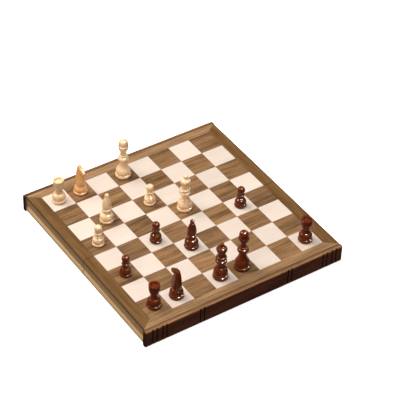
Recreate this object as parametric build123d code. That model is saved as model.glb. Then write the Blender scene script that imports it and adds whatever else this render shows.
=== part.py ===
"""A folding chess case shaped like a book, with its thirty-two chessmen.

The case lies open with its playing side up. Two halves hang on butt hinges under the
fold line and swing together around the space in which the men are stored. Units are
millimetres. +X runs along the fold line, +Y across it and +Z up. The origin is on the
table under the middle of the board.
"""
import os
from math import sqrt

from build123d import *

# ---- driving dimensions --------------------------------------------------------------
SQUARE = 37.0                  # side of one square of the board
BORDER_SIDE = 18.9             # walnut border at the page ends
BORDER_SPINE = 14.8            # walnut border along the spines
HALF_THICKNESS = 28.0          # one half of the case, rim to playing surface
VENEER = 0.9                   # veneer squares and border strips
PLY = 2.6                      # panel under the veneer
FOLD_GAP = 0.15                # each half stops this far from the fold plane
TILE_GAP = 0.02                # glue line around each veneer square

SPINE_LENGTH = 337.4
SPINE_OUTSIDE = 169.5          # fold plane to the outer face of a spine
SPINE_SKIN = 2.2
SPINE_TOP_ROUND = 2.6
SPINE_RIM_ROUND = 1.2
SPINE_END_ROUND = 2.0
SPINE_JOINT = 0.5              # V-groove between a spine and the border
REBATE = 0.8                   # shadow gap between a page rail and the border
SPINE_TOP_LIP = 6.7            # width of the spine seen from above
GROOVE_WIDTH = 1.5
GROOVE_DEPTH = 1.1
GROOVES_FROM_END = (12.2, 19.2, 28.5, 35.2, 90.7, 97.3)

ROOM_HALF_LENGTH = 156.0       # inside of the case, from its middle to a page rail
WALL_INSIDE = 158.9            # inside of the case, from the fold plane to the front wall
HINGE_RAIL_THICKNESS = 9.0
LINING = 0.6                   # felt on the inner walls
FOAM_THICKNESS = 12.0

HINGE_CENTRES = (-100.0, 100.0)
HINGE_LENGTH = 32.0
LEAF_WIDTH = 8.2
LEAF_THICKNESS = 0.8
BARREL_RADIUS = 1.5
PIN_RADIUS = 0.7
PIN_CLEARANCE = 0.05
KNUCKLES = 5
KNUCKLE_GAP = 0.15
SCREW_SPACING = 20.0
SCREW_HEAD_RADIUS = 1.6
SCREW_SHANK_RADIUS = 0.8
SCREW_LENGTH = 7.0

MAGNET_RADIUS = 3.0
MAGNET_THICKNESS = 2.4
MAGNET_SINK = 0.1
MAGNET_X = 60.0

FELT = 0.8                     # felt disc under each man
STORED_GAP = 0.3               # between a stored man and what is around it
STORED_BACK_GAP = 0.5          # between a stored man's base and the lining

# heights of the levels, from the table up
RIM = BARREL_RADIUS            # the hinge barrels touch the table, the rims stand clear
TOP = RIM + HALF_THICKNESS
BOARD = TOP - VENEER           # underside of the veneer
CEILING = BOARD - PLY          # underside of the panel
FIELD = 4 * SQUARE             # middle of the board to the edge of the squares
SPINE_INSIDE = SPINE_OUTSIDE - SPINE_TOP_LIP


def box(x, y, z):
    """A block between two values on each axis."""
    middle = ((x[0] + x[1]) / 2, (y[0] + y[1]) / 2, (z[0] + z[1]) / 2)
    return Pos(*middle) * Box(x[1] - x[0], y[1] - y[0], z[1] - z[0])


def both_ways(half_width):
    """A span that reaches as far either side of the middle."""
    return (-half_width, half_width)


def near(shape):
    """The same piece in the near half: half a turn about the upright axis.

    Left and right rails are named as seen from the fold, looking out over their half.
    """
    return Rot(0, 0, 180) * shape


# ---- the case, each piece drawn for the far half ----------------------------------------
def veneer_squares(parity):
    """Sixteen squares of one wood; column plus row is even for the dark ones."""
    tiles = []
    for column in range(1, 9):
        for row in range(5, 9):
            if (column + row) % 2 == parity:
                x = (column - 5) * SQUARE
                y = (row - 5) * SQUARE
                low_y = max(y + TILE_GAP, FOLD_GAP)
                tiles.append(box((x + TILE_GAP, x + SQUARE - TILE_GAP),
                                 (low_y, y + SQUARE - TILE_GAP), (BOARD, TOP)))
    return Compound(children=tiles)


def border():
    """Three strips of walnut, mitred where they meet."""
    out_x, out_y = FIELD + BORDER_SIDE, FIELD + BORDER_SPINE
    front = Polyline((-FIELD, FIELD), (FIELD, FIELD), (out_x, out_y), (-out_x, out_y),
                     close=True)
    side = Polyline((FIELD, FOLD_GAP), (out_x, FOLD_GAP), (out_x, out_y), (FIELD, FIELD),
                    close=True)
    strips = [Pos(0, 0, BOARD) * extrude(make_face(line), VENEER, dir=(0, 0, 1))
              for line in (front, side)]
    strips.append(mirror(strips[1], Plane.YZ))
    return Compound(children=strips)


def spine_facing():
    """Walnut skin round the outside, top lip and ends of a spine, with its grooves."""
    end = SPINE_LENGTH / 2
    skin = box(both_ways(end), (SPINE_INSIDE, SPINE_OUTSIDE), (RIM, TOP))
    long_edges = skin.edges().filter_by(Axis.X).group_by(Axis.Y)[-1].sort_by(Axis.Z)
    skin = fillet(long_edges[-1], SPINE_TOP_ROUND)
    upright = skin.edges().filter_by(Axis.Z).group_by(Axis.Y)[-1]
    skin = fillet(upright, SPINE_END_ROUND)
    inner = skin.edges().filter_by(Axis.X).group_by(Axis.Y)[0].sort_by(Axis.Z)[-1]
    skin = chamfer(inner, SPINE_JOINT)
    rim_edges = skin.edges().group_by(Axis.Z)[0].filter_by(Axis.X).sort_by(Axis.Y)
    skin = fillet(rim_edges[-1], SPINE_RIM_ROUND)
    skin -= box(both_ways(end - SPINE_SKIN), (SPINE_INSIDE - 1, SPINE_OUTSIDE - SPINE_SKIN),
                (RIM - 1, TOP - SPINE_SKIN))
    for from_end in GROOVES_FROM_END:
        for side in (-1, 1):
            x = side * (end - from_end)
            skin -= box((x - GROOVE_WIDTH / 2, x + GROOVE_WIDTH / 2),
                        (SPINE_OUTSIDE - GROOVE_DEPTH, SPINE_OUTSIDE + 1), (RIM - 1, TOP + 1))
    return skin


def front_wall():
    """Pale solid wood behind the spine facing, with blind holes for the magnets."""
    core = box(both_ways(SPINE_LENGTH / 2 - SPINE_SKIN),
               (SPINE_INSIDE, SPINE_OUTSIDE - SPINE_SKIN), (RIM, TOP - SPINE_SKIN))
    inner = box(both_ways(ROOM_HALF_LENGTH), (WALL_INSIDE, SPINE_INSIDE), (RIM, BOARD))
    wall = core + inner
    for magnet in magnet_discs(0, MAGNET_SINK):
        wall -= magnet
    return wall


def magnet_discs(sink, extra=0.0):
    """Two upright discs in the front wall, sunk below the rim."""
    y = (WALL_INSIDE + SPINE_OUTSIDE - SPINE_SKIN) / 2
    height = MAGNET_THICKNESS + extra
    return [Pos(x, y, RIM + sink + height / 2) * Cylinder(MAGNET_RADIUS, height)
            for x in (-MAGNET_X, MAGNET_X)]


def page_rail():
    """Right-hand moulded rail: a flat band under the border, a cove, and a bulge."""
    inside = ROOM_HALF_LENGTH
    band, cove, bulge = FIELD + 17.2, FIELD + 15.9, FIELD + 18.6
    band_foot, cove_foot = TOP - 14.6, TOP - 19.8
    outline = Curve() + [
        Line((inside, BOARD), (band - REBATE, BOARD)),
        Line((band - REBATE, BOARD), (band - REBATE, BOARD - REBATE)),
        Line((band - REBATE, BOARD - REBATE), (band, BOARD - REBATE)),
        Line((band, BOARD - REBATE), (band, band_foot)),
        ThreePointArc((band, band_foot), (cove, TOP - 17.2), (cove + 1.0, cove_foot)),
        ThreePointArc((cove + 1.0, cove_foot), (bulge, TOP - 24.4), (bulge - 1.3, RIM)),
        Line((bulge - 1.3, RIM), (inside, RIM)),
        Line((inside, RIM), (inside, BOARD)),
    ]
    section = make_face(Plane.XZ * outline)
    rail = extrude(section, SPINE_INSIDE - FOLD_GAP, dir=(0, 1, 0))
    return Pos(0, FOLD_GAP, 0) * rail


def hinge_rail():
    """Wall along the fold, let in for the hinge leaves, barrels and screws."""
    rail = box(both_ways(ROOM_HALF_LENGTH), (FOLD_GAP, HINGE_RAIL_THICKNESS), (RIM, BOARD))
    deep = LEAF_THICKNESS + 0.05
    notch = BARREL_RADIUS + 0.3
    for x in HINGE_CENTRES:
        half = HINGE_LENGTH / 2
        rail -= box((x - half - 0.1, x + half + 0.1), (0, LEAF_WIDTH + 0.1), (RIM, RIM + deep))
        rail -= box((x - half - 0.3, x + half + 0.3), (0, notch), (RIM - 1, RIM + notch))
    for screw in screw_blanks():
        rail -= screw
    return rail


def panel():
    """Plywood sheet that closes the half and carries the veneer."""
    return box(both_ways(ROOM_HALF_LENGTH), (HINGE_RAIL_THICKNESS, WALL_INSIDE),
               (CEILING, BOARD))


# ---- hinges -------------------------------------------------------------------------------
def screw_blanks():
    """The countersunk screws of one half without their slots."""
    blanks = []
    y = (LEAF_WIDTH + BARREL_RADIUS) / 2
    face = RIM + 0.05
    for centre in HINGE_CENTRES:
        for side in (-1, 1):
            x = centre + side * SCREW_SPACING / 2
            head = Cone(SCREW_HEAD_RADIUS, SCREW_SHANK_RADIUS, LEAF_THICKNESS)
            shank = Cylinder(SCREW_SHANK_RADIUS, SCREW_LENGTH - LEAF_THICKNESS)
            blanks.append(Pos(x, y, face + LEAF_THICKNESS / 2) * head
                          + Pos(x, y, face + (SCREW_LENGTH + LEAF_THICKNESS) / 2) * shank)
    return blanks


def hinge_screws():
    """The same screws with a slot across each head."""
    screws = []
    for blank in screw_blanks():
        centre = blank.center(CenterOf.BOUNDING_BOX)
        slot = Pos(centre.X, centre.Y, RIM) * Box(2 * SCREW_HEAD_RADIUS, 0.4, 0.8)
        screws.append(blank - slot)
    return Compound(children=screws)


def hinge_leaves(first_knuckle, bore_radius):
    """Two leaves with every other knuckle, drawn on the far side of the pin."""
    leaves = []
    half = HINGE_LENGTH / 2
    pitch = (HINGE_LENGTH + KNUCKLE_GAP) / KNUCKLES
    low, high = RIM + 0.05, RIM + 0.05 + LEAF_THICKNESS
    for centre in HINGE_CENTRES:
        leaf = box((centre - half, centre + half), (BARREL_RADIUS + 0.2, LEAF_WIDTH), (low, high))
        for index in range(first_knuckle, KNUCKLES, 2):
            start = centre - half + index * pitch
            end = start + pitch - KNUCKLE_GAP
            leaf += box((start, end), (0, BARREL_RADIUS + 0.2), (low, high))
            barrel = Cylinder(BARREL_RADIUS, end - start, rotation=(0, 90, 0))
            leaf += Pos((start + end) / 2, 0, RIM) * barrel
        leaf -= Pos(centre, 0, RIM) * Cylinder(bore_radius, 2 * half + 1, rotation=(0, 90, 0))
        for blank in screw_blanks():
            leaf -= blank
        leaves.append(leaf)
    return Compound(children=leaves)


def hinge_pins():
    """Two pins, each as long as its barrel."""
    pins = []
    for centre in HINGE_CENTRES:
        pin = Cylinder(PIN_RADIUS, HINGE_LENGTH, rotation=(0, 90, 0))
        pins.append(Pos(centre, 0, RIM) * chamfer(pin.edges().filter_by(GeomType.CIRCLE), 0.15))
    return Compound(children=pins)


# ---- chessmen -----------------------------------------------------------------------------
def turned(start, steps):
    """A body of revolution. Each step is a line to (r, z), or an arc (r, z, r, z)."""
    here = (0.0, FELT)
    lines = [Line(here, start)]
    here = start
    for step in steps:
        if len(step) == 2:
            lines.append(Line(here, step))
        else:
            lines.append(ThreePointArc(here, step[:2], step[2:]))
        here = step[-2:]
    lines.append(Line(here, (0.0, FELT)))
    face = make_face(Plane.XZ * (Curve() + lines))
    return revolve(face, Axis.Z)


def foot(radius, notch_height, inset):
    """The rounded flange at the foot of a man and the step in above it."""
    return [(radius, notch_height * 0.5, radius - 0.5, notch_height - 0.5),
            (radius - inset, notch_height)]


def ball(radius, centre, start_radius):
    """A ball on the axis: the step to where it starts, then its arc to the top."""
    start = centre - sqrt(radius ** 2 - start_radius ** 2)
    return [(start_radius, start), (radius, centre, 0.0, centre + radius)]


def pawn():
    return turned((BASE["pawn"] - 0.5, FELT), foot(BASE["pawn"], 4.1, 1.9) + [
        (8.5, 7.9, 5.0, 13.9),
        (5.5, 15.0, 4.8, 16.0),
        (4.3, 18.0, 4.6, 19.9),
        (5.9, 21.2, 4.6, 22.5),
        (4.5, 24.0)] + ball(5.9, 29.45, 4.8))


def rook():
    return turned((BASE["rook"] - 0.5, FELT), foot(BASE["rook"], 4.6, 2.0) + [
        (9.9, 9.0, 7.1, 14.8),
        (6.3, 15.3),
        (5.2, 21.0, 6.0, 25.4),
        (6.9, 26.4, 6.0, 27.5),
        (7.4, 29.4, 8.0, 33.0),
        (8.2, 39.5),
        (7.8, 40.0),
        (5.6, 40.0),
        (5.2, 39.4),
        (4.9, 36.2),
        (0.0, 35.6)])


def bishop():
    body = turned((BASE["bishop"] - 0.5, FELT), foot(BASE["bishop"], 4.6, 1.8) + [
        (10.2, 8.3, 6.1, 15.2),
        (5.2, 18.4, 5.8, 20.2),
        (7.3, 22.0, 6.0, 23.8),
        (6.3, 24.6),
        (6.5, 32.6, 2.9, 44.4)] + ball(3.4, 47.4, 2.2))
    cut = Pos(5.0, 0, 39.0) * Rot(0, -38, 0) * Box(7.0, 14.0, 1.3)
    return body - cut


def queen():
    body = turned((BASE["queen"] - 0.5, FELT), foot(BASE["queen"], 5.0, 1.9) + [
        (10.6, 9.4, 6.8, 17.6),
        (7.4, 18.5, 6.4, 19.4),
        (4.9, 24.3, 5.9, 28.4),
        (8.4, 30.8, 6.6, 33.3),
        (5.9, 34.2, 6.2, 35.4),
        (7.9, 37.5, 6.2, 39.5),
        (5.5, 42.8, 6.3, 47.4),
        (7.4, 50.0, 8.0, 53.0),
        (7.4, 54.9),
        (5.4, 56.4, 2.4, 57.2)] + ball(3.2, 60.4, 2.0))
    for turn in range(8):
        scallop = Pos(8.3, 0, 55.7) * Cylinder(1.3, 4.0, rotation=(0, 90, 0))
        body -= Rot(0, 0, 45 * turn) * scallop
    return body


def king():
    return turned((BASE["king"] - 0.5, FELT), foot(BASE["king"], 5.4, 1.9) + [
        (11.0, 9.4, 8.3, 17.0),
        (6.1, 23.2, 5.3, 30.4),
        (8.4, 34.0, 6.5, 37.0),
        (5.5, 37.6),
        (6.3, 39.0, 5.0, 40.4),
        (4.5, 43.4, 5.0, 47.0),
        (7.0, 51.2, 7.9, 55.4),
        (7.8, 56.9),
        (6.9, 57.8)] + ball(6.9, 62.1, 6.7))


def knight():
    """A turned foot with a horse's head cut from a thick blank, looking along +X."""
    stand = turned((BASE["knight"] - 0.5, FELT), foot(BASE["knight"], 4.6, 1.0) + [
        (9.9, 8.0, 7.6, 13.4),
        (7.0, 14.4),
        (0.0, 14.4)])
    outline = Curve() + [
        Line((-6.4, 13.0), (-7.4, 19.0)),
        ThreePointArc((-7.4, 19.0), (-8.5, 31.0), (-6.4, 45.5)),
        Line((-6.4, 45.5), (-5.0, 48.6)),
        Line((-5.0, 48.6), (-2.2, 50.0)),
        Line((-2.2, 50.0), (5.6, 48.4)),
        Line((5.6, 48.4), (11.6, 44.4)),
        ThreePointArc((11.6, 44.4), (12.6, 41.4), (11.0, 38.4)),
        Line((11.0, 38.4), (6.0, 37.4)),
        ThreePointArc((6.0, 37.4), (5.9, 33.6), (8.6, 28.6)),
        ThreePointArc((8.6, 28.6), (9.4, 24.0), (7.6, 18.6)),
        Line((7.6, 18.6), (6.6, 13.0)),
        Line((6.6, 13.0), (-6.4, 13.0)),
    ]
    blank = extrude(make_face(Plane.XZ * outline), 6.6, both=True)
    taper = make_face(Polyline((-6.6, 13.0), (6.6, 13.0), (5.3, 34.0), (2.7, 50.5),
                               (-2.7, 50.5), (-5.3, 34.0), close=True))
    head = blank & extrude(Plane.YZ * taper, 20, both=True)
    return stand + head


BASE = {"pawn": 9.1, "rook": 10.8, "knight": 10.8, "bishop": 10.8, "queen": 11.5, "king": 11.95}
LENGTH = {"pawn": 35.35, "rook": 40.0, "knight": 50.0, "bishop": 50.8, "queen": 63.6, "king": 69.0}
RECESS_HALF = {**BASE, "knight": 12.9}    # a knight's muzzle reaches past its foot
MAKERS = {"pawn": pawn, "rook": rook, "knight": knight, "bishop": bishop, "queen": queen,
          "king": king}


def chessman(kind):
    """A man standing at the origin: its wooden body, and the felt disc under it."""
    felt = Pos(0, 0, FELT / 2) * Cylinder(BASE[kind] - 0.8, FELT)
    return Compound(children=[MAKERS[kind](), felt])


# ---- where the men are ------------------------------------------------------------------
# the storage columns hold one man of the back rank and one pawn each
BACK_RANK = ("rook_1", "knight_1", "bishop_1", "queen", "king", "bishop_2", "knight_2", "rook_2")
# column along X and row along Y, both from 1, and the way a knight looks, in degrees
ON_BOARD = {
    "light_rook_1": (1, 8, 0), "light_knight_1": (2, 8, -90), "light_king": (4, 8, 0),
    "light_bishop_1": (2, 6, 60), "light_pawn_1": (1, 5, 0), "light_pawn_2": (4, 6, 0),
    "light_queen": (5, 5, 10),
    "dark_rook_1": (1, 1, 0), "dark_knight_1": (2, 1, 90), "dark_queen": (4, 1, 20),
    "dark_king": (5, 1, 0), "dark_bishop_1": (4, 3, 150), "dark_rook_2": (8, 1, 0),
    "dark_pawn_1": (1, 3, 0), "dark_pawn_2": (3, 4, 0), "dark_pawn_3": (7, 4, 0),
}
COLUMN_PITCH = 2 * ROOM_HALF_LENGTH / 8


def column_x(column):
    """The middle of a storage column, counted from 0."""
    return (column - 3.5) * COLUMN_PITCH


def kind_of(name):
    """The kind of man in a name such as light_pawn_3 or rook_1."""
    return next(kind for kind in BASE if kind in name)


def standing(column, row, turn):
    """The place of a man on a square of the board."""
    return Pos((column - 4.5) * SQUARE, (row - 4.5) * SQUARE, TOP) * Rot(0, 0, turn)


def lying(name, column):
    """The place of a man in its recess in the far half."""
    kind = kind_of(name)
    z = CEILING - STORED_GAP - BASE[kind]
    if kind == "pawn":
        y = HINGE_RAIL_THICKNESS + LINING + STORED_BACK_GAP
        return Pos(column_x(column), y, z) * Rot(-90, 0, 0)
    return Pos(column_x(column), WALL_INSIDE - LINING - STORED_BACK_GAP, z) * Rot(90, 0, 0)


def foam_insert():
    """Foam ribs with a recess between them for every man, and felt on the four walls."""
    x_in, z = ROOM_HALF_LENGTH - LINING, (CEILING - FOAM_THICKNESS, CEILING)
    y_low, y_high = HINGE_RAIL_THICKNESS + LINING, WALL_INSIDE - LINING
    pawn_end = y_low + LENGTH["pawn"] + 2.5
    rank_end = y_high - LENGTH["king"] - 2.5
    pieces = [box(both_ways(x_in), (pawn_end, rank_end), z)]
    back_kinds = [kind_of(man) for man in BACK_RANK]
    rows = [((y_low, pawn_end), ["pawn"] * 8), ((rank_end, y_high), back_kinds)]
    for y, kinds in rows:
        rib_start = -x_in
        for column, kind in enumerate(kinds):
            half = RECESS_HALF[kind] + STORED_GAP
            pieces.append(box((rib_start, column_x(column) - half), y, z))
            rib_start = column_x(column) + half
        pieces.append(box((rib_start, x_in), y, z))
    felt_z = (RIM + 0.4, CEILING)
    for y in ((HINGE_RAIL_THICKNESS, y_low), (y_high, WALL_INSIDE)):
        pieces.append(box(both_ways(x_in), y, felt_z))
    for x in ((-ROOM_HALF_LENGTH, -x_in), (x_in, ROOM_HALF_LENGTH)):
        pieces.append(box(x, (HINGE_RAIL_THICKNESS, WALL_INSIDE), felt_z))
    return Compound(children=pieces)


def case_nodes():
    """Every piece of the case by its node name."""
    rail = page_rail()
    drawn = {
        "panel": panel(),
        "light_squares": veneer_squares(1),
        "dark_squares": veneer_squares(0),
        "border": border(),
        "spine_facing": spine_facing(),
        "front_wall": front_wall(),
        "page_rail_right": rail,
        "page_rail_left": mirror(rail, Plane.YZ),
        "hinge_rail": hinge_rail(),
        "foam_insert": foam_insert(),
        "magnets": Compound(children=magnet_discs(MAGNET_SINK)),
        "hinge_screws": hinge_screws(),
    }
    nodes = {}
    for name, shape in drawn.items():
        nodes[f"far_{name}"] = shape
        nodes[f"near_{name}"] = near(shape)
    nodes["far_hinge_leaves"] = hinge_leaves(1, PIN_RADIUS + PIN_CLEARANCE)
    nodes["near_hinge_leaves"] = near(hinge_leaves(0, PIN_RADIUS))
    nodes["hinge_pins"] = hinge_pins()
    return nodes


def man_nodes():
    """Every chessman by its node name; dark men are stored in the near half."""
    shapes = {kind: chessman(kind) for kind in BASE}
    nodes = {}
    for colour in ("light", "dark"):
        stored = [(man, column) for column, man in enumerate(BACK_RANK)]
        stored += [(f"pawn_{column + 1}", column) for column in range(8)]
        for man, column in stored:
            name = f"{colour}_{man}"
            if name in ON_BOARD:
                place = standing(*ON_BOARD[name])
            else:
                place = lying(man, column)
                if colour == "dark":
                    place = Rot(0, 0, 180) * place
            nodes[name] = place * shapes[kind_of(man)]
    return nodes


os.makedirs("parts", exist_ok=True)
for node, shape in {**case_nodes(), **man_nodes()}.items():
    shape.label = node
    export_step(shape, f"parts/{node}.step")
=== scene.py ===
"""Looks of a folding chess set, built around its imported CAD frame.

The case keeps its CAD pieces and gets procedural woods, foam, felt and metal. The
chessmen are turned and carved again here, with softened edges and a grain that follows
each man, and stand in for the CAD men at the places that the frame gives.
"""
import logging
import math
import random
from dataclasses import dataclass
from enum import Enum
from typing import Callable, Iterable, Sequence

import bmesh
import bpy
from mathutils import Matrix, Quaternion, Vector


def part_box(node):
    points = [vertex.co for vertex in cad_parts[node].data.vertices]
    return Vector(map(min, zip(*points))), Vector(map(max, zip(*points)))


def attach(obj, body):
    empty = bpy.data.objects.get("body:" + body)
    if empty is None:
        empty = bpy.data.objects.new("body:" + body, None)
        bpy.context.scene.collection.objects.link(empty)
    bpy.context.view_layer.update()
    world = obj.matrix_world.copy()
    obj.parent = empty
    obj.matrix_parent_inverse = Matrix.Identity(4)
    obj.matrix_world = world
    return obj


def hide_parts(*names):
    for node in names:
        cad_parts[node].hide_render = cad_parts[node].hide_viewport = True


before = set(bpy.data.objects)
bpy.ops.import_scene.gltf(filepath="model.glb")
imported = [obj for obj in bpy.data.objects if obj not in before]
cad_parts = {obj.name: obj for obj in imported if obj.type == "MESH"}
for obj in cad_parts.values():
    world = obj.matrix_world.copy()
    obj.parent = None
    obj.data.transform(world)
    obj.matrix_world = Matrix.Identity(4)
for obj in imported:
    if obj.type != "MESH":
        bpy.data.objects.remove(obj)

logging.basicConfig(level=logging.INFO, format="%(name)s: %(message)s")
LOG = logging.getLogger("chess")

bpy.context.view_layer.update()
MM = 0.001
WHITE = (1.0, 1.0, 1.0)
SQUARE = 0.037
FIELD = 4 * SQUARE                                     # from the middle to the border
PLAYING_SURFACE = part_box("far_light_squares")[1][2]
BORDER_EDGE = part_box("far_border")[1][0]
SPINE_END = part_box("near_spine_facing")[1][0]
SPINE_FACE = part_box("far_spine_facing")[1][1]
SPINE_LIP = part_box("far_spine_facing")[0][1]           # where the spine meets the border
RAIL_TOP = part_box("far_page_rail_right")[1][2]
PANEL_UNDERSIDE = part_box("far_panel")[0][2]
SPINE_GROOVES = (0.0122, 0.0192, 0.0285, 0.0352, 0.0907, 0.0973)   # from a spine's end
GRAIN = "grain"                                        # attribute with a piece's own place

Point = tuple[float, float]
Colour = tuple[float, float, float]


# ---- shader graphs ------------------------------------------------------------------------
class Wire:
    """An output socket that adds, multiplies and compares like a number."""

    def __init__(self, graph: "Graph", socket: bpy.types.NodeSocket) -> None:
        """Wrap a socket.

        Args:
            graph: the graph that the socket belongs to.
            socket: the output socket.
        """
        self.graph = graph
        self.socket = socket

    def __add__(self, other: "Wire | float") -> "Wire":
        return self.graph.maths("ADD", self, other)

    __radd__ = __add__

    def __mul__(self, other: "Wire | float") -> "Wire":
        return self.graph.maths("MULTIPLY", self, other)

    __rmul__ = __mul__

    def __sub__(self, other: "Wire | float") -> "Wire":
        return self.graph.maths("SUBTRACT", self, other)

    def __rsub__(self, other: float) -> "Wire":
        return self.graph.maths("SUBTRACT", other, self)

    def __truediv__(self, other: "Wire | float") -> "Wire":
        return self.graph.maths("DIVIDE", self, other)

    def __gt__(self, other: "Wire | float") -> "Wire":
        return self.graph.maths("GREATER_THAN", self, other)

    def __lt__(self, other: "Wire | float") -> "Wire":
        return self.graph.maths("LESS_THAN", self, other)

    def __abs__(self) -> "Wire":
        return self.graph.maths("ABSOLUTE", self)


class Graph:
    """A material's node tree with one way of making nodes."""

    def __init__(self, tree: bpy.types.NodeTree) -> None:
        """Start on a cleared tree.

        Args:
            tree: the node tree to fill.
        """
        self.tree = tree
        tree.nodes.clear()

    def node(self, kind: str, inputs: dict | None = None, **settings: object) -> bpy.types.Node:
        """Make a node of any kind.

        Args:
            kind: the node's type name.
            inputs: values or wires by input name or number.
            settings: the node's own properties.

        Returns:
            The new node.
        """
        made = self.tree.nodes.new(kind)
        for key, value in settings.items():
            setattr(made, key, value)
        for key, value in (inputs or {}).items():
            self.feed(made.inputs[key], value)
        return made

    def feed(self, socket: bpy.types.NodeSocket, value: object) -> None:
        """Set an input, or link a wire to it."""
        if isinstance(value, Wire):
            self.tree.links.new(value.socket, socket)
        else:
            socket.default_value = value

    def maths(self, operation: str, *values: object, clamp: bool = False) -> Wire:
        """A Math node over one to three values."""
        made = self.node("ShaderNodeMath", dict(enumerate(values)), operation=operation,
                         use_clamp=clamp)
        return Wire(self, made.outputs[0])

    def step(self, value: Wire, low: float, high: float) -> Wire:
        """A smooth rise from 0 to 1 as value goes from low to high."""
        made = self.node("ShaderNodeMapRange",
                         {"Value": value, "From Min": low, "From Max": high},
                         interpolation_type="SMOOTHSTEP")
        return Wire(self, made.outputs[0])

    def split(self, vector: Wire) -> tuple[Wire, Wire, Wire]:
        """The three parts of a vector."""
        made = self.node("ShaderNodeSeparateXYZ", {0: vector})
        return tuple(Wire(self, out) for out in made.outputs)

    def join(self, x: object, y: object, z: object) -> Wire:
        """A vector from three values."""
        made = self.node("ShaderNodeCombineXYZ", {0: x, 1: y, 2: z})
        return Wire(self, made.outputs[0])

    def noise(self, vector: Wire, detail: float, roughness: float = 0.5) -> Wire:
        """Fractal noise, centred near one half, one cell per unit of the vector."""
        made = self.node("ShaderNodeTexNoise",
                         {"Vector": vector, "Scale": 1.0, "Detail": detail,
                          "Roughness": roughness})
        return Wire(self, made.outputs[0])

    def random(self, vector: Wire) -> Wire:
        """A number from 0 to 1 that depends only on the vector."""
        made = self.node("ShaderNodeTexWhiteNoise", {"Vector": vector})
        return Wire(self, made.outputs["Value"])

    def mix(self, factor: Wire, low: object, high: object) -> Wire:
        """A colour between two colours."""
        made = self.node("ShaderNodeMix", data_type="RGBA")
        self.feed(made.inputs[0], factor)
        for socket, value in ((made.inputs[6], low), (made.inputs[7], high)):
            self.feed(socket, value if isinstance(value, Wire) else (*value, 1.0))
        return Wire(self, made.outputs[2])

    def scaled(self, colour: Wire, factor: Wire) -> Wire:
        """A colour made lighter or darker by a factor."""
        made = self.node("ShaderNodeVectorMath", {0: colour}, operation="SCALE")
        self.feed(made.inputs["Scale"], factor)
        return Wire(self, made.outputs[0])

    def tinted(self, colour: Wire, tint: Wire) -> Wire:
        """A colour multiplied by another, channel by channel."""
        made = self.node("ShaderNodeVectorMath", {0: colour, 1: tint}, operation="MULTIPLY")
        return Wire(self, made.outputs[0])

    def bump(self, height: Wire, distance: float, strength: float = 1.0) -> Wire:
        """A normal bent by a height in units of distance."""
        made = self.node("ShaderNodeBump",
                         {"Height": height, "Distance": distance, "Strength": strength})
        return Wire(self, made.outputs[0])

    def place(self, own_grain: bool) -> Wire:
        """Where the surface is, in metres, in the set's frame or in the piece's own."""
        if own_grain:
            made = self.node("ShaderNodeAttribute", attribute_name=GRAIN)
            return Wire(self, made.outputs["Vector"])
        made = self.node("ShaderNodeTexCoord")
        return Wire(self, made.outputs["Object"])

    def surface(self, colour: object, roughness: object, normal: Wire | None = None,
                **constants: float) -> None:
        """Close the graph with a Principled shader.

        Args:
            colour: base colour, or a wire.
            roughness: roughness, or a wire.
            normal: the bumped normal, if any.
            constants: other inputs by name, with underscores for spaces.
        """
        shader = self.node("ShaderNodeBsdfPrincipled")
        base = colour if isinstance(colour, Wire) else (*colour, 1.0)
        self.feed(shader.inputs["Base Color"], base)
        self.feed(shader.inputs["Roughness"], roughness)
        if normal is not None:
            self.feed(shader.inputs["Normal"], normal)
        for name, value in constants.items():
            shader.inputs[name.replace("_", " ")].default_value = value
        output = self.node("ShaderNodeOutputMaterial")
        self.tree.links.new(shader.outputs[0], output.inputs[0])


# ---- finishes -----------------------------------------------------------------------------
class Along(Enum):
    """Which way the grain of a wood runs."""

    X = (0, 1, 2)
    Y = (1, 0, 2)
    Z = (2, 0, 1)


class Layout(Enum):
    """How one wood is cut up over the piece."""

    PLAIN = "one board"
    TILES = "a new bit of veneer on every square"
    STRIPS = "strips that meet in mitres"
    SPINE = "a board with burnt lines across it"
    RAIL = "a moulding with shadow lines along it"
    SHEET = "a sheet blackened inside"


@dataclass(frozen=True)
class Finish:
    """What every finish has: the record's slot, and how it shines."""

    name: str
    slot: str
    roughness: float = 0.5
    coat: float = 0.0

    def build(self) -> bpy.types.Material:
        """Make the material.

        Returns:
            The Blender material, ready to be put on pieces.
        """
        material = bpy.data.materials.new(self.name)
        material.use_nodes = True
        self.draw(Graph(material.node_tree))
        return material

    def draw(self, graph: Graph) -> None:
        """Fill the graph. Each kind of finish has its own."""
        raise NotImplementedError


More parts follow.
